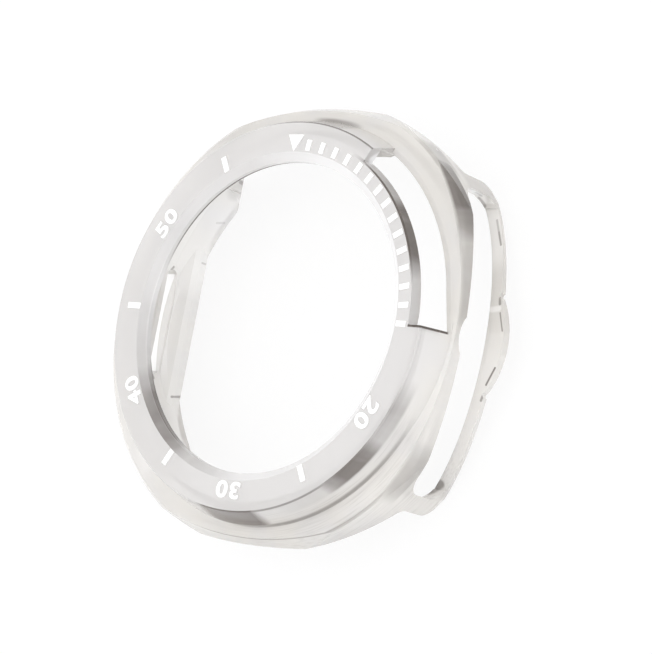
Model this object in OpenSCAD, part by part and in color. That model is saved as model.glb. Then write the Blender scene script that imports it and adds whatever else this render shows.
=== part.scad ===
// Clear bumper case that clips over a round 46 mm smartwatch.
// The seat plane, where the watch face meets the front ring, is z = 0.
// +Z points out of the display, +X to 3 o'clock and +Y to 12 o'clock.
// Depths are measured back from the front face.

/* [Display opening] */
// Diameter of the straight rim round the display
opening_d = 33.6; // [32:0.1:34.4]
// Width of the bevel in front of the rim
opening_bevel = 0.88; // [0.4:0.02:1]
// Depth of that bevel
opening_bevel_h = 0.73; // [0.3:0.01:0.9]
// Thickness of the flat front ring
ring_t = 1.35; // [1.2:0.05:1.8]

/* [Front ring] */
// Outer diameter of the flat front ring
ring_d = 42; // [41.4:0.1:42.6]
// Chamfer on the edges of the ring and the shoulder
edge = 0.15; // [0.05:0.01:0.25]
// Diameter of the valley where the ring's side meets the shoulder
valley_d = 43.9; // [43.5:0.1:44.3]
// Depth of that valley
valley_h = 3.1; // [2.8:0.1:3.4]

/* [Body] */
// Diameter across the flanks
body_d = 48.8; // [48.4:0.1:50]
// Diameter of the shoulder's crest
crest_d = 48.4; // [48:0.1:48.8]
// Fall of the shoulder from the valley to the crest
shoulder_fall = 0.2; // [0.1:0.05:0.4]
// Depth of the whole case
depth = 12; // [11.6:0.1:13]
// Wall of the flanks and the shoulder
wall = 1.3; // [1.1:0.05:1.4]
// Wall of the ring's side
side_wall = 1.2; // [1:0.05:1.3]

/* [Drawn-in sides] */
// Half width of the crest at 12 and 6 o'clock
end_reach = 23.1; // [22.9:0.1:23.4]
// Radius of the crest's arc at 12 and 6 o'clock
end_arc = 36.9; // [32:0.5:44]
// Outward lean of the wall there, in mm for each mm of depth
end_lean = 0.45; // [0.3:0.05:0.7]
// Half width of the crest at 3 o'clock
right_reach = 22.95; // [22.8:0.05:23.4]
// Radius of the crest's arc at 3 o'clock
right_arc = 27.85; // [26.5:0.1:30]
// Outward lean of the wall there, in mm for each mm of depth
right_lean = 0.4; // [0.3:0.05:0.7]

/* [Strap arches] */
// Width of the arches that leave room for the watch's lugs
arch_w = 33.4; // [32:0.2:34]
// Depth of the top of each arch
arch_h = 4.7; // [4.6:0.1:5.4]
// Radius of the top of each arch
arch_r = 45; // [40:1:60]
// Radius of the corners of each arch
arch_corner = 0.9; // [0.5:0.1:1.2]
// Radius of the back corners at the flanks' ends
foot_corner = 1; // [0.4:0.1:1.4]

/* [Finger window] */
// Radius at which the front ring is cut back
window_in = 19.3; // [19.25:0.05:19.6]
// Draft of the ring's cut face, over the ring's thickness
window_draft = 0.2; // [0.05:0.05:0.3]
// Outer radius of the window, in the shoulder
window_out = 21.35; // [21.1:0.05:21.6]
// Angle at which the window starts, from 3 o'clock
window_from = 0; // [-2:0.5:4]
// Angle at which the window ends
window_to = 60; // [54:0.5:64]
// Length of the flare where the window meets the ring's cut face
window_flare = 4; // [2:0.5:6]

/* [Slope at 4 o'clock] */
// Radius of the slope's foot beside the window's start
slope_reach = 22.5; // [22.2:0.05:22.6]
// Depth at which the slope leaves the ring's side there
slope_from = 0.3; // [0.2:0.05:0.8]
// Angle over which the slope runs out into the valley
slope_angle = 30; // [24:1:36]

/* [Button side] */
// Half width of the slot for the watch's buttons
slot_reach = 16.1; // [15.6:0.1:16.4]
// Depth of the slot's front edge at 3 o'clock
slot_front = 4.15; // [3.95:0.05:4.4]
// Radius of that front edge
slot_arc = 66; // [56:1:80]
// Depth of the scallop in the middle of that edge
scallop_h = 0.65; // [0.2:0.05:0.7]
// Radius of the scallop
scallop_r = 4; // [3:0.5:6]
// Forward tilt of the scallop, which leaves the shoulder whole behind it
scallop_tilt = 40; // [30:5:50]
// Radius of the slot's front corners
slot_corner = 2.1; // [1.6:0.1:2.3]
// Radius of the slot's back corners
slot_toe = 1.2; // [0.8:0.1:1.3]
// Depth of the guard rail's front face at 3 o'clock
rail_front = 8.1; // [7.8:0.1:8.3]
// Radius of the rail's front face
rail_arc = 36; // [35:0.5:38]
// Depth of the rail's back face at 3 o'clock
rail_back = 8.8; // [8.6:0.1:9.2]
// Radius of the rail's back face
rail_back_arc = 40; // [38:0.5:44]
// How far the button guard stands out of the rail
guard_out = 0.9; // [0.6:0.1:1.3]
// Radius of the button guard
guard_r = 9.3; // [8:0.1:11]
// Depth of the guard's back face
guard_back = 9.1; // [9:0.05:9.6]
// Radius of the notch at each end of the guard
notch_r = 0.28; // [0.15:0.01:0.35]

/* [Clip side] */
// Half width of the left slot that lets the lip spring
spring_slot_reach = 6; // [5:0.2:7]
// Depth of the left slot's front edge
spring_slot_front = 7.8; // [7.6:0.1:8.1]
// Height of the left slot
spring_slot_h = 1.6; // [1.3:0.05:1.7]
// Distance from the axis to the flat inside of the wall round the slot
pad_reach = 22.1; // [21.9:0.05:22.4]
// Distance from the axis to the straight edge of the clip's lip
lip_reach = 20.45; // [20.3:0.05:21]
// Height of the lip's edge
lip_h = 1.1; // [0.8:0.05:1.2]
// Height of the bevel in front of that edge
lip_slope = 0.6; // [0.4:0.05:0.8]
// Width of that bevel
lip_bevel = 0.4; // [0.2:0.05:0.8]
// Radius that the flank's back edge curls in to
curl_r = 22.1; // [21.8:0.1:22.6]
// Height of that curl
curl_h = 3; // [2:0.1:3.4]

/* [Printed scale] */
// Thickness of the print
print_t = 0.1; // [0.06:0.01:0.15]
// Radius of the middle of the batons and of the triangle
baton_r = 18.6; // [18.6:0.05:18.9]
// Length of a baton
baton_len = 1.8; // [1.5:0.1:1.8]
// Width of a baton
baton_w = 0.65; // [0.5:0.05:0.8]
// Width of the triangle at 12 o'clock
pip_w = 2.1; // [1.5:0.1:2.2]
// Radius of the middle of the minute ticks
tick_r = 18.45; // [18.4:0.05:18.55]
// Length of a minute tick
tick_len = 1.2; // [0.9:0.05:1.4]
// Width of a minute tick
tick_w = 0.6; // [0.4:0.05:0.8]

/* [Hidden] */

$fn = 96;
over = 1;
front_z = ring_t;
back_z = ring_t - depth;
crest_h = valley_h + shoulder_fall;
inner_r = body_d / 2 - wall;
clear_col = [0.9, 0.89, 0.88, 0.5];
print_col = "white";
minute = 6;
ticks = 15;

function at(h) = ring_t - h;
function inset_flat(lean) = wall * sqrt(1 + lean * lean);

// Outline of the body of revolution, with the shoulder's step
module body_outline() {
    polygon([
        [0, back_z],
        [0, front_z],
        [ring_d / 2 - edge, front_z],
        [ring_d / 2, front_z - edge],
        [valley_d / 2, at(valley_h)],
        [crest_d / 2 - edge, at(crest_h)],
        [crest_d / 2, at(crest_h + edge)],
        [body_d / 2, at(crest_h + 2 * edge)],
        [body_d / 2, back_z]
    ]);
}

// Outline of the hollow that takes the watch
module hollow_outline() {
    polygon([
        [0, back_z - over],
        [0, 0],
        [ring_d / 2 - side_wall, 0],
        [valley_d / 2 - side_wall, at(valley_h + wall)],
        [inner_r - wall / 2, at(crest_h + wall)],
        [inner_r, at(crest_h + 1.5 * wall)],
        [inner_r, back_z - over]
    ]);
}

// A drawn-in side: a wide arc at the crest, leaning outward behind it
module drawn_side(reach, arc, lean, inset) {
    fall = depth - crest_h + over;
    translate([reach - arc, 0, 0]) {
        translate([0, 0, at(crest_h)])
            cylinder(h = crest_h + over, r = arc - inset);
        translate([0, 0, at(crest_h) - fall])
            cylinder(h = fall, r1 = arc - inset + lean * fall, r2 = arc - inset);
    }
}

// The sides at 3, 6 and 12 o'clock together
module drawn_sides(walls) {
    intersection() {
        drawn_side(right_reach, right_arc, right_lean, walls * inset_flat(right_lean));
        rotate(90)
            drawn_side(end_reach, end_arc, end_lean, walls * inset_flat(end_lean));
        rotate(-90)
            drawn_side(end_reach, end_arc, end_lean, walls * inset_flat(end_lean));
    }
}

module solid_body() {
    intersection() {
        rotate_extrude() body_outline();
        drawn_sides(0);
    }
}

// Slope that fills the valley beside the window's start: a cone, set off the
// centre so that it sinks into the ring's side at the slope's far end
module valley_slope() {
    valley_r = valley_d / 2;
    side_lean = (valley_r - ring_d / 2) / (valley_h - edge);
    start_r = ring_d / 2 + side_lean * (slope_from - edge);
    lean = (slope_reach - start_r) / (valley_h - slope_from);
    centre = (pow(slope_reach, 2) - pow(valley_r, 2)) / (2 * (slope_reach - valley_r * cos(slope_angle)));
    foot_h = crest_h + edge;
    rotate(window_from)
        intersection() {
            translate([centre, 0, at(foot_h)])
                cylinder(
                    h = foot_h - edge,
                    r1 = slope_reach + lean * (foot_h - valley_h) - centre,
                    r2 = start_r - lean * (slope_from - edge) - centre
                );
            translate([0, -body_d, at(foot_h)]) cube([body_d, body_d + over, foot_h]);
        }
}

module hollow() {
    intersection() {
        rotate_extrude() hollow_outline();
        drawn_sides(1);
    }
}

// Hole for the display, with its bevel
module display_hole() {
    rim = opening_d / 2;
    translate([0, 0, -over])
        cylinder(h = front_z + 2 * over, r = rim);
    translate([0, 0, front_z - opening_bevel_h])
        cylinder(h = opening_bevel_h, r1 = rim, r2 = rim + opening_bevel);
}

// Arches at 12 and 6 o'clock, seen along Y
module arch_outline() {
    half = arch_w / 2;
    foot = back_z - over;
    top = at(arch_h);
    shoulder = top - arch_r + sqrt(pow(arch_r - arch_corner, 2) - pow(half - arch_corner, 2));
    intersection() {
        translate([0, top - arch_r]) circle(r = arch_r, $fn = 192);
        union() {
            translate([-half, foot]) square([2 * half, shoulder - foot]);
            translate([arch_corner - half, foot]) square([2 * (half - arch_corner), top - foot]);
            for (side = [-1, 1]) {
                translate([side * (half - arch_corner), shoulder]) circle(r = arch_corner, $fn = 48);
                translate([side * half, back_z])
                    difference() {
                        square(2 * foot_corner, center = true);
                        translate([side * foot_corner, foot_corner]) circle(r = foot_corner, $fn = 48);
                    }
            }
        }
    }
}

module arches() {
    rotate([90, 0, 0])
        linear_extrude(height = 2 * body_d, center = true) arch_outline();
}

// Window beside the minute scale: the ring's side is gone down to the shoulder,
// and a narrower band, round at its far end, goes through the shoulder as well
module finger_window() {
    valley_r = valley_d / 2;
    wide = slope_reach + edge;
    through = at(crest_h + wall) - over;
    inner = window_in + window_draft;
    end_r = (window_out - inner) / 2;
    rotate(window_from)
        rotate_extrude(angle = window_to - window_from)
            polygon([
                [inner, through],
                [window_out, through],
                [window_out, at(valley_h)],
                [wide, at(valley_h)],
                [wide, front_z + over],
                [window_in, front_z + over],
                [window_in, front_z],
                [inner, 0]
            ]);
    rotate(window_to)
        translate([inner + end_r, 0, through])
            cylinder(h = -through, r = end_r, $fn = 48);
    rotate(window_from)
        translate([0, 0, through])
            linear_extrude(height = front_z + over - through)
                polygon([
                    [window_in + edge, 0],
                    [valley_r, 0],
                    [sqrt(pow(window_out, 2) - pow(window_flare, 2)), window_flare],
                    [window_in + edge, window_flare / 2]
                ]);
}

// Slot for the buttons, seen along X
module button_slot_outline() {
    centre = at(slot_front) - slot_arc;
    corner_y = slot_reach - slot_corner;
    corner_z = centre + sqrt(pow(slot_arc - slot_corner, 2) - pow(corner_y, 2));
    rail_z = at(rail_front) - rail_arc;
    toe_y = slot_reach - slot_toe;
    toe_z = rail_z + sqrt(pow(rail_arc + slot_toe, 2) - pow(toe_y, 2));
    difference() {
        intersection() {
            translate([0, centre]) circle(r = slot_arc, $fn = 240);
            union() {
                translate([-corner_y, back_z]) square([2 * corner_y, depth]);
                translate([-slot_reach, toe_z]) square([2 * slot_reach, corner_z - toe_z]);
                translate([-toe_y, back_z]) square([2 * toe_y, corner_z - back_z]);
                for (side = [-1, 1]) {
                    translate([side * corner_y, corner_z]) circle(r = slot_corner, $fn = 48);
                    translate([side * toe_y, toe_z]) circle(r = slot_toe, $fn = 48);
                }
            }
        }
        translate([0, rail_z]) circle(r = rail_arc, $fn = 240);
    }
}

module button_slot() {
    rim = right_reach + right_lean * (slot_front - crest_h);
    difference() {
        rotate([90, 0, 90])
            linear_extrude(height = body_d) button_slot_outline();
        translate([0, 0, back_z])
            cylinder(h = depth, r = right_reach - wall);
    }
    translate([rim, 0, at(slot_front - scallop_h)])
        rotate([0, 90 - scallop_tilt, 0])
            translate([scallop_r, 0, -wall])
                cylinder(h = 4 * wall, r = scallop_r);
}

// What lies behind the guard rail's back face on the right flank
module right_back_cut() {
    rotate([90, 0, 90])
        linear_extrude(height = body_d)
            translate([0, at(rail_back) - rail_back_arc]) circle(r = rail_back_arc, $fn = 240);
}

// Round guard that stands out of the rail in front of the buttons
module button_guard() {
    translate([body_d / 2 + guard_out - guard_r, 0, at(guard_back)])
        cylinder(h = guard_back - rail_front, r = guard_r);
}

// Notches where the guard runs into the rail
module guard_notches() {
    flank_r = body_d / 2;
    centre = flank_r + guard_out - guard_r;
    meet_x = (pow(flank_r, 2) - pow(guard_r, 2) + pow(centre, 2)) / (2 * centre);
    meet_y = sqrt(pow(flank_r, 2) - pow(meet_x, 2));
    for (side = [-1, 1])
        translate([meet_x, side * (meet_y + notch_r), back_z])
            cylinder(h = depth - slot_front, r = notch_r, $fn = 32);
}

// Long slot in the left flank that lets the lip spring
module spring_slot() {
    half = spring_slot_h / 2;
    rotate([90, 0, -90])
        linear_extrude(height = body_d)
            translate([0, at(spring_slot_front + half)]) {
                square([2 * (spring_slot_reach - half), 2 * half], center = true);
                for (side = [-1, 1])
                    translate([side * (spring_slot_reach - half), 0]) circle(r = half, $fn = 48);
            }
}

// Ridge that curls the back edge of the left flank in, over a half angle
module back_curl(half_angle) {
    root = inner_r + wall / 2;
    rotate(180 - half_angle)
        rotate_extrude(angle = 2 * half_angle)
            polygon([
                [root, back_z],
                [curl_r, back_z],
                [curl_r, back_z + edge],
                [inner_r, back_z + edge + curl_h],
                [root, back_z + edge + curl_h]
            ]);
}

// The clip's lip: a straight bar across the inside of the left flank, with a
// bevel above its edge and, in front of it, a flat pad round the slot
module clip_lip() {
    root = inner_r + wall / 2;
    pad_top = at(spring_slot_front - wall / 2);
    top = pad_top + root - pad_reach;
    intersection() {
        translate([0, 0, back_z]) cylinder(h = top - back_z, r = root);
        rotate([90, 0, 0])
            linear_extrude(height = 2 * root, center = true)
                polygon([
                    [-root, back_z],
                    [-lip_reach, back_z],
                    [-lip_reach, back_z + lip_h],
                    [-lip_reach - lip_bevel, back_z + lip_h + lip_slope],
                    [-pad_reach, back_z + lip_h + 2 * lip_slope],
                    [-pad_reach, pad_top],
                    [-root, top]
                ]);
    }
}

module bumper_frame() {
    flank = asin(arch_w / body_d);
    color(clear_col)
        difference() {
            union() {
                difference() {
                    union() {
                        difference() {
                            solid_body();
                            right_back_cut();
                        }
                        valley_slope();
                        button_guard();
                    }
                    hollow();
                }
                back_curl(flank);
                clip_lip();
            }
            display_hole();
            arches();
            finger_window();
            button_slot();
            guard_notches();
            spring_slot();
        }
}

// Places a mark of the scale at a minute and a radius, flat on the ring
module at_minute(m, r) {
    rotate(90 - m * minute)
        translate([r, 0, front_z])
            children();
}

module bar(length, width) {
    translate([-length / 2, -width / 2, 0])
        cube([length, width, print_t]);
}

module baton(m) {
    color(print_col)
        at_minute(m, baton_r) bar(baton_len, baton_w);
}

module scale_pip() {
    color(print_col)
        at_minute(0, baton_r)
            linear_extrude(height = print_t)
                polygon([[baton_len / 2, pip_w / 2], [baton_len / 2, -pip_w / 2], [-baton_len / 2, 0]]);
}

module minute_ticks() {
    color(print_col)
        for (m = [1:ticks])
            at_minute(m, tick_r) bar(tick_len, tick_w);
}

module baton_25() { baton(25); }
module baton_35() { baton(35); }
module baton_45() { baton(45); }
module baton_55() { baton(55); }

bumper_frame();
scale_pip();
minute_ticks();
baton_25();
baton_35();
baton_45();
baton_55();
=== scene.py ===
import math

import bpy
from mathutils import Matrix, Vector


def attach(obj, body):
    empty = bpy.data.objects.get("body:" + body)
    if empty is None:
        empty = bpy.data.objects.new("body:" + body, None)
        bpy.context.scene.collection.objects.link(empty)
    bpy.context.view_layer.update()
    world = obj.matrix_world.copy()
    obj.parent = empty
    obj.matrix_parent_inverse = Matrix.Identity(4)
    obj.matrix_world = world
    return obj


# A clear bumper case for a round smartwatch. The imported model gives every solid. This script adds
# the four printed numerals, the look of the materials, the light and the camera.
# Lengths are in metres, or in mm where a name ends in mm. Angles are in degrees, and bearings run
# round the case's axis from 3 o'clock (+X) towards 12 (+Y).

MM = 0.001

# Sizes of the frame, as in the CAD source, with the seat of the watch at height 0
FRONT_Z_MM = 1.35
SEAT_Z_MM = 0.0
VALLEY_Z_MM = -1.75
BACK_Z_MM = -10.65
OPENING_R_MM = 16.8
WINDOW_R_MM = 19.3
RING_R_MM = 21.0
VALLEY_R_MM = 21.95
RIGHT_REACH_MM = 22.95
RIGHT_ARC_R_MM = 27.85
RIGHT_ARC_X_MM = RIGHT_REACH_MM - RIGHT_ARC_R_MM
PAD_X_MM = -22.1
LIP_X_MM = -20.45
PRINT_MM = 0.1

# The numerals of the scale: the minutes they stand for and the size of their figures
NUMERAL_MINUTES = (20, 30, 40, 50)
DEGREES_PER_MINUTE = 6.0
TWELVE_BEARING = 90.0
NUMERAL_R_MM = 18.62
NUMERAL_HEIGHT_MM = 2.4
NUMERAL_SPACING = 1.12
NUMERAL_STRETCH = 1.3
NUMERAL_WEIGHT = 0.03

# The camera, fitted to the photograph: its bearing, its height and its roll round the view line
CAMERA_TURN = 78.18
CAMERA_RISE = 47.77
CAMERA_ROLL = -70.26
CAMERA_DISTANCE = 0.2731
CAMERA_NEAR = 0.01
CAMERA_LENS_MM = 143.6
CAMERA_SENSOR_MM = 36.0
CAMERA_SHIFT = (0.0972, -0.0196)

# The light
WORLD_FILL = 1.1
WORLD_WHITE = 1.0
SOFTBOX_SIZE = 0.4
SOFTBOX_HEIGHT = 0.5
SOFTBOX_WATTS = 0.5
FLOOR_RADIUS = 0.8
FLOOR_CORNERS = 96
FLOOR_GLOW = 0.85

# Colours, linear
PLASTIC_PALE = (0.8, 0.785, 0.78, 1.0)
# Painted warm shade, the tone that the surfaces below the ring take from the light
PLASTIC_WARM_SHADE = (0.84, 0.815, 0.78, 1.0)
# The dark colour of painted shade in the plastic, also used by the fine dark streaks round the ring
PLASTIC_PAINTED_DARK = (0.095, 0.072, 0.06, 1.0)
# Tint of the painted light that the plastic gives off as an emission
PAINTED_GLOW_TINT = (0.84, 0.87, 0.92, 1.0)
INK_WHITE = (0.95, 0.95, 0.945, 1.0)
FLOOR_WHITE = (0.92, 0.92, 0.92, 1.0)
WHITE = (1.0, 1.0, 1.0, 1.0)

# The clear plastic
PLASTIC_IOR = 1.49
PLASTIC_CLEARNESS = 0.4
COAT_WEIGHT = 0.3
COAT_ROUGHNESS = 0.06
# Strength of the painted light, an emission that no lamp gives
PAINTED_GLOW = 0.3

# The fine grain in the gloss and the surface of each material
PLASTIC_GRAIN = {"scale": 900.0, "detail": 2.0, "roughness": (0.15, 0.28), "bump": 0.04, "bump_mm": 0.05}
INK_GRAIN = {"scale": 1600.0, "detail": 3.0, "roughness": (0.45, 0.65), "bump": 0.15, "bump_mm": 0.02}

# The mottle in the plastic: its noise, how much it breaks up the painted shades and where it takes the
# painted warm shade
MOTTLE_SCALE = 220.0
MOTTLE_DETAIL = 3.0
MOTTLE_STRETCH = (1.0, 1.0, 0.3)
MOTTLE_LIMITS = (0.25, 0.7)
MOTTLE_WARM_SHADE = 0.3
SHADE_UNEVEN = 0.5
SHADE_DEPTH = 0.88

# The fine dark streaks round the ring: their noise, and how far they run round the axis
ROUND_STREAK_SCALE = 7000.0
ROUND_STREAK_DETAIL = 1.0
ROUND_STREAK_LIMITS = (0.45, 0.7)
ROUND_STREAK_REACH_MM = 0.6

# From none to all, how far a face has to turn outward, inward or forward, as cosines
OUTWARD_LIMITS = (0.4, 0.7)
INWARD_LIMITS = (-0.2, -0.5)
FORWARD_LIMITS = (0.8, 0.9)

# The part of a band or a stroke that has its full strength
BAND_CORE = 0.25
STROKE_CORE = 0.4

# Widths of the painted shade lines
LINE_MM = 0.2
VALLEY_LINE_MM = 0.12
START_LINE_MM = 0.25

# The limits of the masks. A pair is a limit and how soft it is, and the others have the usual softness.
USUAL_SOFT_MM = 0.06

# Limits on the display opening
RIM_TO_R_MM = OPENING_R_MM + 0.1
BEVEL_FROM_R_MM = OPENING_R_MM + 0.08
BEVEL_TO_R_MM = OPENING_R_MM + 1.0
BEVEL_GLOW_Z_MM = 0.2

# Limits on the ring's side, its edges and the valley
CUT_FACE_R_MM = WINDOW_R_MM + 0.3
CUT_EDGE_R_MM = (WINDOW_R_MM - 0.12, 0.03)
CUT_EDGE_Z_MM = (FRONT_Z_MM - 0.22, 0.04)
FRONT_EDGE_R_MM = RING_R_MM - 0.14
SIDE_R_MM = RING_R_MM - 0.2
SIDE_STREAK_Z_MM = (-0.3, 0.2)
SIDE_FOOT_Z_MM = (VALLEY_Z_MM + 0.2, 0.15)
WEDGE_R_MM = (VALLEY_R_MM + 0.3, 0.2)
START_R_MM = VALLEY_R_MM + 0.4

# Limits on the shoulder and the flanks
CREST_Z_MM = -2.0
SHOULDER_Z_MM = (CREST_Z_MM - 0.5, 0.2)
BAND_R_MM = (RIGHT_ARC_R_MM + 0.03, 0.12)
BAND_TOP_Z_MM = VALLEY_Z_MM + 0.1
BAND_FOOT_Z_MM = (-4.3, 0.12)
FLANK_TOP_Z_MM = (CREST_Z_MM, 0.3)
FLANK_TOP_FOOT_Z_MM = (-4.9, 0.4)
FLAP_Z_MM = (-5.8, 0.6)
BODY_R_MM = RING_R_MM + 0.2
BODY_Z_MM = FRONT_Z_MM - 0.3

# Limits on the rail and the left flank's slot
RAIL_R_MM = 22.9
RAIL_Z_MM = -5.2
SLOT_R_MM = 22.0
SLOT_FAR_R_MM = 23.15
SLOT_Z_MM = -7.9

# Where painted shade and painted shade lines darken it: bearing, half width and strength
RING_SIDE_SHADES = ((-44, 14, 0.9), (-32, 18, 0.45), (-60, 14, 0.15))
RING_FOOT_SHADES = ((-90, 13, 1.5),)
CUT_SHADES = ((30, 18, 0.95), (42, 18, 0.45), (12, 12, 0.12))
BEVEL_SHADES = ((-135, 28, 0.68), (-152, 40, 0.2), (-112, 26, 0.25))
RIM_SHADES = ((-138, 26, 0.95), (-150, 40, 0.3), (-112, 26, 0.3))
FLANK_SHADES = ((40, 12, 0.9), (34, 13, 0.66), (14, 18, 0.28), (55, 12, 0.6), (-37, 10, 0.38))
FLANK_TOP_SHADES = ((50, 8, 0.4),)
FLAP_SHADES = ((44, 7, 0.22),)
WEDGE_SHADES = ((83, 10, 0.6),)
CUT_LINES = ((38, 28, 1.2),)
RIM_LINES = ((118, 50, 0.9), (-138, 30, 0.85))
EDGE_LINES = ((76, 30, 0.85), (-70, 28, 0.65))
VALLEY_LINES = ((-60, 40, 0.6),)
CREST_LINES = ((-75, 50, 0.5),)

# Where painted light brightens it as an emission, and where the fine dark streaks run round it
INSIDE_GLOWS = ((178, 34, 0.3), (152, 26, 0.7), (-150, 34, 0.3))
BEVEL_GLOWS = ((40, 90, 0.85), (-60, 60, 0.5), (150, 70, 0.33))
RIM_GLOWS = ((182, 30, 0.7),)
SLOT_GLOWS = ((180, 24, 0.45),)
SLOT_FAR_GLOWS = ((180, 24, 1.5),)
FLANK_GLOWS = ((-14, 20, 0.25), (-42, 18, 0.15))
SHOULDER_GLOWS = ((-146, 50, 0.3), (170, 50, 0.2))
RAIL_GLOWS = ((30, 12, 0.4), (-24, 16, 0.3))
ROUND_STREAK_BANDS = ((-60, 44, 0.14),)

# Single strokes of painted shade and painted highlight: start and end in mm, half width in mm, and
# strength
SHADE_STROKES = (
    # The ends of the button slot
    ((17.6, 15.9, -8.0), (17.5, 15.9, -8.9), 0.4, 0.4),
    ((17.1, 15.75, -9.3), (17.6, 15.15, -9.85), 0.34, 0.5),
    ((17.3, -15.2, -9.9), (18.6, -14.3, -9.75), 0.62, 0.65),
    # The outer edge of the rail, beside the slot's upper end
    ((21.68, 10.73, -8.39), (20.76, 12.2, -8.88), 0.16, 0.6),
    ((20.76, 12.2, -8.88), (19.83, 13.59, -9.42), 0.16, 0.4),
    # The front edge of the guard, and its notches
    ((24.2, 3.35, -6.9), (24.95, 1.5, -6.8), 0.13, 0.6),
    ((24.84, -2.33, -6.83), (24.0, -4.1, -7.0), 0.16, 0.8),
    ((23.9, 4.3, -7.0), (23.7, 4.9, -7.2), 0.22, 0.6),
    ((23.7, -5.3, -7.15), (23.55, -5.7, -7.2), 0.2, 0.6),
    # The ends of the left flank's slot
    ((PAD_X_MM, 5.9, -6.9), (PAD_X_MM, 6.3, -7.2), 0.2, 0.55),
    ((PAD_X_MM, -6.2, -7.2), (PAD_X_MM, -6.5, -7.5), 0.2, 0.6),
    # The ends of the clip's lip
    ((LIP_X_MM, 7.5, -9.9), (LIP_X_MM, 7.5, -10.5), 0.16, 0.3),
    ((LIP_X_MM - 0.1, -8.15, -9.35), (LIP_X_MM, -7.9, -10.6), 0.2, 0.6),
    # The curl beyond the lip, and the flank's foot
    ((-18.9, 12.1, -9.4), (-18.5, 12.3, -10.1), 0.2, 0.2),
    ((-16.7, 16.97, -9.45), (-16.83, 16.92, -10.14), 0.35, 0.5),
    ((-16.7, 15.6, -9.0), (-16.8, 16.4, -10.2), 1.3, 0.16),
)
# Painted highlights, added as painted light
HIGHLIGHT_STROKES = (
    # The end of the finger window, and the upper end of the button slot
    ((9.9, 17.2, 0.2), (9.95, 18.0, -0.3), 0.75, 0.8),
    ((17.3, 16.0, -7.0), (17.4, 15.9, -9.6), 0.9, 0.6),
    # Strips across the rail
    ((23.1, 3.66, -6.9), (23.9, 3.79, -6.9), 0.45, 0.45),
    ((23.5, 0.4, -6.9), (24.9, 0.5, -6.9), 1.2, 0.15),
)


class NodeTree:
    """The node tree of a material or a world, emptied, with short ways to fill it."""

    def __init__(self, owner):
        owner.use_nodes = True
        self.nodes = owner.node_tree.nodes
        self.links = owner.node_tree.links
        self.nodes.clear()

    def feed(self, socket, value):
        """Links an output to an input socket, or sets the input."""
        if isinstance(value, bpy.types.NodeSocket):
            self.links.new(value, socket)
        else:
            socket.default_value = value

    def add(self, kind, inputs=None):
        """A new node, with its inputs fed by name or by place."""
        node = self.nodes.new(kind)
        for key, value in (inputs or {}).items():
            self.feed(node.inputs[key], value)
        return node

    def show(self, shader, kind="ShaderNodeOutputMaterial"):
        """Makes a shader node the one that is seen."""
        self.add(kind, {"Surface": shader.outputs[0]})

    def operate(self, kind, operation, values):
        """A node for one operation, its inputs fed in order."""
        node = self.add(kind)
        node.operation = operation
        for socket, value in zip(node.inputs, values):
            self.feed(socket, value)
        return node

    def math(self, operation, *values, clamp=False):
        """A number worked out from others."""
        node = self.operate("ShaderNodeMath", operation, values)
        node.use_clamp = clamp
        return node.outputs["Value"]

    def vector(self, operation, *values):
        """A vector worked out from others."""
        return self.operate("ShaderNodeVectorMath", operation, values).outputs["Vector"]

    def measure(self, operation, *values):
        """A number worked out from vectors."""
        return self.operate("ShaderNodeVectorMath", operation, values).outputs["Value"]

    def split(self, vector):
        """The three parts of a vector."""
        return tuple(self.add("ShaderNodeSeparateXYZ", {"Vector": vector}).outputs)

    def step(self, value, none_at, all_at):
        """A smooth step from 0 to 1 between two limits, in either order."""
        node = self.add("ShaderNodeMapRange", {"Value": value, "From Min": none_at, "From Max": all_at})
        node.interpolation_type = "SMOOTHSTEP"
        return node.outputs["Result"]

    def mix(self, factor, first, second):
        """A colour between two others."""
        node = self.add("ShaderNodeMix", {"Factor": factor})
        node.data_type = "RGBA"
        colours = [socket for socket in node.inputs if socket.type == "RGBA"]
        for socket, value in zip(colours, (first, second)):
            self.feed(socket, value)
        return next(socket for socket in node.outputs if socket.type == "RGBA")

    def noise(self, place, scale, detail, stretch=(1.0, 1.0, 1.0)):
        """Noise over a place, stretched along chosen axes."""
        mapping = self.add("ShaderNodeMapping", {"Vector": place, "Scale": stretch})
        node = self.add("ShaderNodeTexNoise", {
            "Vector": mapping.outputs["Vector"],
            "Scale": scale,
            "Detail": detail,
        })
        return node.outputs["Fac"]

    def roughen(self, shader, place, grain):
        """Gives a shader a fine grain in its gloss and its surface."""
        speckle = self.noise(place, grain["scale"], grain["detail"])
        low, high = grain["roughness"]
        rough = self.add("ShaderNodeMapRange", {"Value": speckle, "To Min": low, "To Max": high})
        bump = self.add("ShaderNodeBump", {
            "Height": speckle,
            "Strength": grain["bump"],
            "Distance": grain["bump_mm"] * MM,
        })
        self.feed(shader.inputs["Roughness"], rough.outputs["Result"])
        self.feed(shader.inputs["Normal"], bump.outputs["Normal"])


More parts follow.
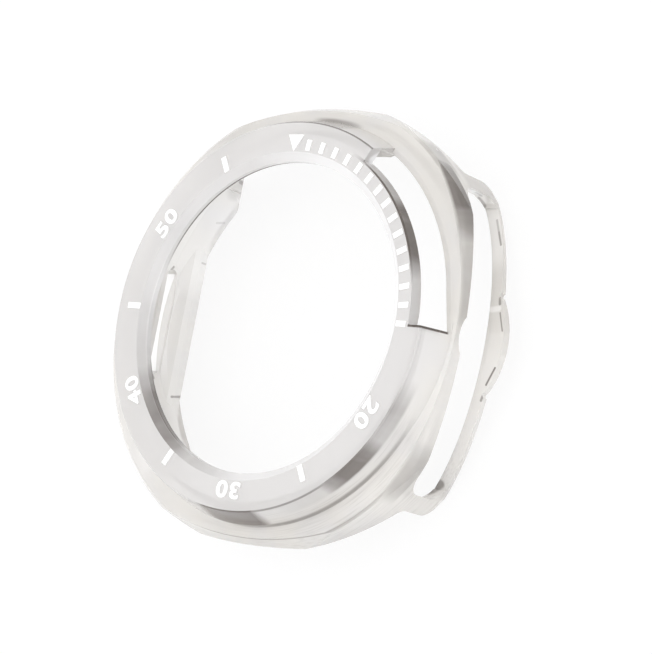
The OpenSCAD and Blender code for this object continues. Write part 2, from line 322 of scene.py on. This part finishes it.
class Surface:
    """A point on the clear plastic, and the masks that its shades are made of."""

    def __init__(self, tree):
        self.tree = tree
        coordinates = tree.add("ShaderNodeTexCoord")
        normal = coordinates.outputs["Normal"]
        self.place = coordinates.outputs["Object"]
        self.x, self.y, self.z = tree.split(self.place)
        self.heading, self.radius = self.level(self.place)
        right_arc = Vector((RIGHT_ARC_X_MM * MM, 0.0, 0.0))
        self.right_radius = self.level(tree.vector("SUBTRACT", self.place, right_arc))[1]
        outward = tree.measure("DOT_PRODUCT", normal, self.heading)
        forward = tree.split(normal)[2]
        self.outer = tree.step(outward, *OUTWARD_LIMITS)
        self.inner = tree.step(outward, *INWARD_LIMITS)
        self.forward = tree.step(forward, *FORWARD_LIMITS)

    def level(self, vector):
        """The direction and the length of a vector, level with the ring."""
        flat = self.tree.vector("MULTIPLY", vector, Vector((1.0, 1.0, 0.0)))
        return self.tree.vector("NORMALIZE", flat), self.tree.measure("LENGTH", flat)

    def above(self, value, limit_mm, soft_mm=USUAL_SOFT_MM):
        """1 where a length is more than a limit."""
        return self.tree.step(value, (limit_mm - soft_mm) * MM, (limit_mm + soft_mm) * MM)

    def below(self, value, limit_mm, soft_mm=USUAL_SOFT_MM):
        """1 where a length is less than a limit."""
        return self.tree.step(value, (limit_mm + soft_mm) * MM, (limit_mm - soft_mm) * MM)

    def band(self, bearing, half_width, strength):
        """Strongest at a bearing round the axis, fading out over a half width."""
        cosine = self.tree.measure("DOT_PRODUCT", self.heading, point_at(bearing, 1.0, 0.0))
        none_at = math.cos(math.radians(half_width))
        all_at = math.cos(math.radians(half_width * BAND_CORE))
        return self.tree.math("MULTIPLY", self.tree.step(cosine, none_at, all_at), strength)

    def stroke(self, start_mm, end_mm, half_width_mm, strength):
        """Strongest on a straight line through the object, fading out over a half width."""
        tree = self.tree
        start = Vector(start_mm) * MM
        run = Vector(end_mm) * MM - start
        offset = tree.vector("SUBTRACT", self.place, start)
        along = tree.measure("DOT_PRODUCT", offset, run / run.length_squared)
        along = tree.math("ADD", along, 0.0, clamp=True)
        gap = tree.vector("SUBTRACT", offset, tree.vector("MULTIPLY", along, run))
        distance = tree.measure("LENGTH", gap)
        half_width = half_width_mm * MM
        return tree.math("MULTIPLY", tree.step(distance, half_width, half_width * STROKE_CORE), strength)

    def bands(self, rows):
        """The strongest of several bands."""
        return self.most([self.band(*row) for row in rows])

    def strokes(self, rows):
        """The strongest of several strokes."""
        return self.most([self.stroke(*row) for row in rows])

    def both(self, *masks):
        """Where all of the masks hold."""
        return self.fold("MULTIPLY", masks)

    def most(self, masks):
        """The strongest mask."""
        return self.fold("MAXIMUM", masks)

    def fold(self, operation, masks):
        """Joins several masks with one operation."""
        result = masks[0]
        for mask in masks[1:]:
            result = self.tree.math(operation, result, mask)
        return result


def point_at(bearing, radius, height):
    """The point at a bearing, a radius and a height."""
    angle = math.radians(bearing)
    return Vector((radius * math.cos(angle), radius * math.sin(angle), height))


def ring_shades(at):
    """Painted shade on the ring's side, its cut face, its bevel and its straight rim."""
    side = at.both(at.outer, at.above(at.radius, SIDE_R_MM))
    cut_face = at.both(at.outer, at.above(at.z, SEAT_Z_MM), at.below(at.radius, CUT_FACE_R_MM))
    hole = at.both(at.inner, at.above(at.z, SEAT_Z_MM))
    bevel = at.both(hole, at.above(at.radius, BEVEL_FROM_R_MM), at.below(at.radius, BEVEL_TO_R_MM))
    rim = at.both(hole, at.below(at.radius, RIM_TO_R_MM))
    return [
        at.both(side, at.above(at.z, *SIDE_STREAK_Z_MM), at.bands(RING_SIDE_SHADES)),
        at.both(side, at.above(at.z, *SIDE_FOOT_Z_MM), at.bands(RING_FOOT_SHADES)),
        at.both(cut_face, at.bands(CUT_SHADES)),
        at.both(bevel, at.bands(BEVEL_SHADES)),
        at.both(rim, at.bands(RIM_SHADES)),
    ]


def flank_shades(at):
    """Painted shade beside the finger window, on the flank's top and its corner, and in the valley."""
    window_band = at.both(at.above(at.right_radius, *BAND_R_MM), at.below(at.z, BAND_TOP_Z_MM),
                          at.above(at.z, *BAND_FOOT_Z_MM))
    flank_top = at.both(at.outer, at.below(at.z, *FLANK_TOP_Z_MM), at.above(at.z, *FLANK_TOP_FOOT_Z_MM))
    flap = at.both(at.outer, at.below(at.z, *FLAP_Z_MM))
    wedge = at.both(at.above(at.radius, RING_R_MM), at.below(at.radius, *WEDGE_R_MM))
    return [
        at.both(window_band, at.bands(FLANK_SHADES)),
        at.both(flank_top, at.bands(FLANK_TOP_SHADES)),
        at.both(flap, at.bands(FLAP_SHADES)),
        at.both(wedge, at.bands(WEDGE_SHADES)),
    ]


def ring_lines(at):
    """Painted shade lines on the edges of the ring and of its cut face."""
    cut_edge = at.both(at.above(at.z, *CUT_EDGE_Z_MM), at.above(at.radius, *CUT_EDGE_R_MM),
                       at.below(at.radius, WINDOW_R_MM + LINE_MM))
    rim_foot = at.both(at.inner, at.above(at.z, SEAT_Z_MM), at.below(at.z, SEAT_Z_MM + LINE_MM),
                       at.below(at.radius, RIM_TO_R_MM))
    front_edge = at.both(at.above(at.z, FRONT_Z_MM - LINE_MM), at.above(at.radius, FRONT_EDGE_R_MM))
    return [
        at.both(cut_edge, at.bands(CUT_LINES)),
        at.both(rim_foot, at.bands(RIM_LINES)),
        at.both(front_edge, at.bands(EDGE_LINES)),
    ]


def shoulder_lines(at):
    """Painted shade lines in the valley, under the crest and where the finger window starts."""
    window_start = at.both(at.above(at.x, 0.0), at.above(at.y, -START_LINE_MM), at.below(at.y, 0.0),
                           at.above(at.z, CREST_Z_MM), at.above(at.radius, WINDOW_R_MM),
                           at.below(at.radius, START_R_MM))
    under_crest = at.both(at.outer, at.below(at.z, CREST_Z_MM), at.above(at.z, CREST_Z_MM - LINE_MM))
    valley = at.both(at.above(at.radius, VALLEY_R_MM - VALLEY_LINE_MM),
                     at.below(at.radius, VALLEY_R_MM + VALLEY_LINE_MM))
    return [
        window_start,
        at.both(under_crest, at.bands(CREST_LINES)),
        at.both(valley, at.bands(VALLEY_LINES)),
    ]


def brushed(at):
    """Fine dark streaks that run round the ring's side and the shoulder, towards 5 o'clock."""
    tree = at.tree
    round_axis = Vector((1.0, 1.0, 0.0)) * ROUND_STREAK_REACH_MM * MM
    turned = tree.measure("DOT_PRODUCT", at.heading, round_axis)
    place = tree.add("ShaderNodeCombineXYZ", {"X": at.radius, "Y": at.z, "Z": turned})
    streaks = tree.step(tree.noise(place.outputs["Vector"], ROUND_STREAK_SCALE, ROUND_STREAK_DETAIL), *ROUND_STREAK_LIMITS)
    return at.both(streaks, at.above(at.radius, RING_R_MM), at.bands(ROUND_STREAK_BANDS))


def darkness(at, mottle):
    """How much painted shade darkens the clear plastic: painted shades broken up by the mottle, painted
    shade lines and strokes, and the fine dark streaks round the ring.
    """
    tree = at.tree
    uneven = tree.math("MULTIPLY_ADD", mottle, SHADE_UNEVEN, 1.0 - SHADE_UNEVEN / 2)
    shades = at.most(ring_shades(at) + flank_shades(at))
    shades = tree.math("MULTIPLY", shades, uneven, clamp=True)
    shades = tree.math("MULTIPLY", shades, SHADE_DEPTH)
    lines = at.most(ring_lines(at) + shoulder_lines(at) + [at.strokes(SHADE_STROKES)])
    lines = tree.math("MINIMUM", lines, 1.0)
    return at.most([shades, lines, brushed(at)])


def glow(at):
    """How much painted light brightens the clear plastic, as an emission."""
    inside = at.both(at.inner, at.below(at.z, SEAT_Z_MM))
    bevel = at.both(at.inner, at.above(at.z, BEVEL_GLOW_Z_MM), at.below(at.radius, BEVEL_TO_R_MM))
    rim = at.both(at.inner, at.above(at.z, SEAT_Z_MM), at.below(at.radius, RIM_TO_R_MM))
    slot_side = at.both(at.forward, at.above(at.radius, SLOT_R_MM), at.below(at.z, SLOT_Z_MM))
    body = at.both(at.above(at.radius, BODY_R_MM), at.below(at.z, BODY_Z_MM))
    rail = at.both(at.forward, at.above(at.radius, RAIL_R_MM), at.below(at.z, RAIL_Z_MM))
    return at.most([
        at.both(inside, at.bands(INSIDE_GLOWS)),
        at.both(bevel, at.bands(BEVEL_GLOWS)),
        at.both(rim, at.bands(RIM_GLOWS)),
        at.both(slot_side, at.bands(SLOT_GLOWS)),
        at.both(slot_side, at.above(at.radius, SLOT_FAR_R_MM), at.bands(SLOT_FAR_GLOWS)),
        at.both(body, at.bands(FLANK_GLOWS)),
        at.both(body, at.above(at.z, *SHOULDER_Z_MM), at.bands(SHOULDER_GLOWS)),
        at.both(rail, at.bands(RAIL_GLOWS)),
        at.strokes(HIGHLIGHT_STROKES),
    ])


def body_colour(at, mottle):
    """The plastic's colour, pale on the ring, with a painted warm shade in patches below it for how the
    lower surfaces take the light.
    """
    tree = at.tree
    low = tree.step(at.z, FRONT_Z_MM * MM, VALLEY_Z_MM * MM)
    patches = tree.math("ADD", mottle, MOTTLE_WARM_SHADE, clamp=True)
    return tree.mix(tree.math("MULTIPLY", low, patches), PLASTIC_PALE, PLASTIC_WARM_SHADE)


def plastic_material():
    """Pale clear plastic, darkened by painted shade and brightened by painted light, an emission."""
    material = bpy.data.materials.new("clear_plastic")
    tree = NodeTree(material)
    at = Surface(tree)
    mottle = tree.step(tree.noise(at.place, MOTTLE_SCALE, MOTTLE_DETAIL, MOTTLE_STRETCH), *MOTTLE_LIMITS)
    # Painted shade is mixed into the base colour, and painted light is added as an emission
    painted_dark = darkness(at, mottle)
    painted_bright = tree.math("MULTIPLY", glow(at), tree.math("SUBTRACT", 1.0, painted_dark))
    shader = tree.add("ShaderNodeBsdfPrincipled", {
        "Base Color": tree.mix(painted_dark, body_colour(at, mottle), PLASTIC_PAINTED_DARK),
        "IOR": PLASTIC_IOR,
        "Transmission Weight": PLASTIC_CLEARNESS,
        "Coat Weight": COAT_WEIGHT,
        "Coat Roughness": COAT_ROUGHNESS,
        "Emission Color": PAINTED_GLOW_TINT,
        "Emission Strength": tree.math("MULTIPLY", painted_bright, PAINTED_GLOW),
    })
    tree.roughen(shader, at.place, PLASTIC_GRAIN)
    tree.show(shader)
    return material


def ink_material():
    """White pad-printed ink: matte, with the print's slight unevenness."""
    material = bpy.data.materials.new("white_print")
    tree = NodeTree(material)
    place = tree.add("ShaderNodeTexCoord").outputs["Object"]
    shader = tree.add("ShaderNodeBsdfPrincipled", {"Base Color": INK_WHITE})
    tree.roughen(shader, place, INK_GRAIN)
    tree.show(shader)
    return material


def white_to_camera(tree, lit, shown, strength):
    """A mix that is lit as one shader, and shows another to the camera, to gloss and through plastic."""
    path = tree.add("ShaderNodeLightPath")
    seen = tree.math("MAXIMUM", path.outputs["Is Camera Ray"], path.outputs["Is Glossy Ray"])
    seen = tree.math("MAXIMUM", seen, path.outputs["Is Transmission Ray"])
    factor = tree.math("MULTIPLY", seen, strength, clamp=True)
    return tree.add("ShaderNodeMixShader", {"Fac": factor, 1: lit.outputs[0], 2: shown.outputs[0]})


def floor_material():
    """Plain white floor that keeps a soft trace of the object's shadow."""
    material = bpy.data.materials.new("floor_white")
    tree = NodeTree(material)
    lit = tree.add("ShaderNodeBsdfDiffuse", {"Color": FLOOR_WHITE})
    shown = tree.add("ShaderNodeEmission", {"Color": WHITE})
    tree.show(white_to_camera(tree, lit, shown, FLOOR_GLOW))
    return material


def dress_nodes(frame, plastic, ink):
    """Gives each CAD node its own finish."""
    for name, node in frame["nodes"].items():
        material = plastic if name == "bumper_frame" else ink
        for slot in node.material_slots:
            slot.material = material


def add_numeral(minute, ink):
    """One printed numeral, its top outward, flat on the front of the ring."""
    curve = bpy.data.curves.new(f"numeral_{minute}", "FONT")
    curve.body = str(minute)
    curve.size = NUMERAL_HEIGHT_MM * MM
    curve.space_character = NUMERAL_SPACING
    curve.offset = NUMERAL_WEIGHT * curve.size
    curve.extrude = PRINT_MM * MM / 2
    curve.align_x = "CENTER"
    curve.align_y = "CENTER"
    curve.materials.append(ink)
    piece = bpy.data.objects.new(f"numeral_{minute}", curve)
    bpy.context.scene.collection.objects.link(piece)
    turn = minute * DEGREES_PER_MINUTE
    piece.location = point_at(TWELVE_BEARING - turn, NUMERAL_R_MM, FRONT_Z_MM + PRINT_MM / 2) * MM
    piece.rotation_euler = (0.0, 0.0, -math.radians(turn))
    piece.scale.x = NUMERAL_STRETCH
    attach(piece, "root")


def make_floor():
    """A round white floor under the case."""
    bpy.ops.mesh.primitive_circle_add(vertices=FLOOR_CORNERS, radius=FLOOR_RADIUS, fill_type="NGON")
    floor = bpy.context.object
    floor.name = "floor"
    floor.location = (0.0, 0.0, BACK_Z_MM * MM)
    floor.data.materials.append(floor_material())


def make_world():
    """White surroundings: plain white to the camera, and a little stronger as light."""
    world = bpy.data.worlds.new("studio")
    bpy.context.scene.world = world
    tree = NodeTree(world)
    lit = tree.add("ShaderNodeBackground", {"Color": WHITE, "Strength": WORLD_FILL})
    shown = tree.add("ShaderNodeBackground", {"Color": WHITE})
    tree.show(white_to_camera(tree, lit, shown, WORLD_WHITE), "ShaderNodeOutputWorld")


def make_softbox():
    """One large soft lamp in front of the display side."""
    lamp = bpy.data.lights.new("softbox", "AREA")
    lamp.shape = "SQUARE"
    lamp.size = SOFTBOX_SIZE
    lamp.energy = SOFTBOX_WATTS
    box = bpy.data.objects.new("softbox", lamp)
    box.location = (0.0, 0.0, SOFTBOX_HEIGHT)
    bpy.context.scene.collection.objects.link(box)


def make_camera():
    """The camera at the photograph's viewing angle."""
    data = bpy.data.cameras.new("camera")
    data.lens = CAMERA_LENS_MM
    data.sensor_fit = "VERTICAL"
    data.sensor_height = CAMERA_SENSOR_MM
    data.shift_x, data.shift_y = CAMERA_SHIFT
    data.clip_start = CAMERA_NEAR
    camera = bpy.data.objects.new("camera", data)
    bpy.context.scene.collection.objects.link(camera)
    turn = (
        Matrix.Rotation(math.radians(CAMERA_TURN), 4, "Z")
        @ Matrix.Rotation(math.radians(90.0 - CAMERA_RISE), 4, "X")
        @ Matrix.Rotation(math.radians(CAMERA_ROLL), 4, "Z")
    )
    back = turn.to_3x3() @ Vector((0.0, 0.0, 1.0))
    target = Vector((0.0, 0.0, FRONT_Z_MM * MM))
    camera.matrix_world = Matrix.Translation(target + back * CAMERA_DISTANCE) @ turn
    bpy.context.scene.camera = camera


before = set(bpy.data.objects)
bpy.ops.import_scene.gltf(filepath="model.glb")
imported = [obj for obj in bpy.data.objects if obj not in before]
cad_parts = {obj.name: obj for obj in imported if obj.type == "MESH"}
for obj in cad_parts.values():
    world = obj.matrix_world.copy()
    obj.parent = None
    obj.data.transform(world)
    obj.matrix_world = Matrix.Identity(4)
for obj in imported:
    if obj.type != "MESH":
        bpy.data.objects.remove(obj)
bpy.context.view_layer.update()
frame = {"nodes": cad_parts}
bpy.context.scene.view_settings.view_transform = "Standard"
plastic = plastic_material()
ink = ink_material()
dress_nodes(frame, plastic, ink)
for minute in NUMERAL_MINUTES:
    add_numeral(minute, ink)
make_floor()
make_world()
make_softbox()
make_camera()
